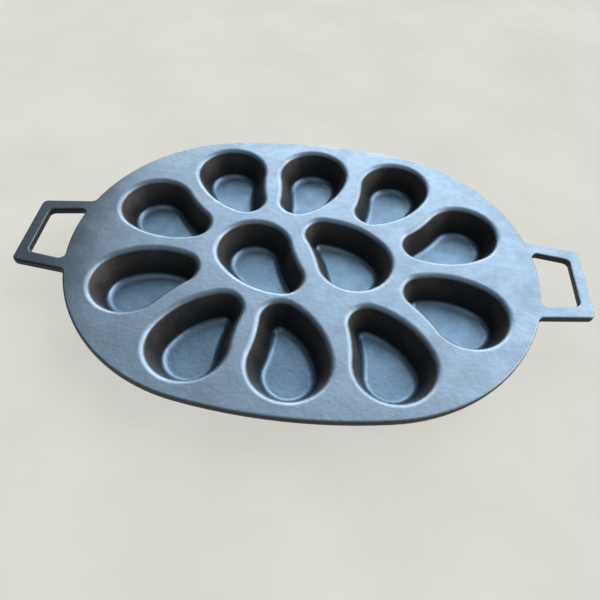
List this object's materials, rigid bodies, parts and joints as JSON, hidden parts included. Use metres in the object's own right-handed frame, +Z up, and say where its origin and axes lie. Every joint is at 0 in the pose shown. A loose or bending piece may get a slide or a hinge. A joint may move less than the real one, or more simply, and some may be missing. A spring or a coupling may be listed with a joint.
{
  "type": "oyster pan",
  "caption": "Oval cast-iron grill pan with teardrop cups sunk in a flat plate and a squared loop handle at each end, for cooking and serving oysters.",
  "frame": {"origin": "under the middle of the pan, on the plane of the cup bottoms that it stands on", "axes": "+X along the length towards the right-hand handle, +Y across the width towards the back row of cups, +Z up through the cup mouths"},
  "size_m": [0.46, 0.2916, 0.027],
  "materials": {
    "seasoned_iron": "satin seasoned cast iron with a fine sand-cast grain"
  },
  "bodies": {
    "root": {"plate": "seasoned_iron", "cup_back_1": "seasoned_iron", "cup_back_2": "seasoned_iron", "cup_back_3": "seasoned_iron", "cup_back_4": "seasoned_iron", "cup_back_5": "seasoned_iron", "cup_middle_1": "seasoned_iron", "cup_middle_2": "seasoned_iron", "cup_front_1": "seasoned_iron", "cup_front_2": "seasoned_iron", "cup_front_3": "seasoned_iron", "cup_front_4": "seasoned_iron", "cup_front_5": "seasoned_iron", "handle_left": "seasoned_iron", "handle_right": "seasoned_iron"}
  },
  "joints": []
}
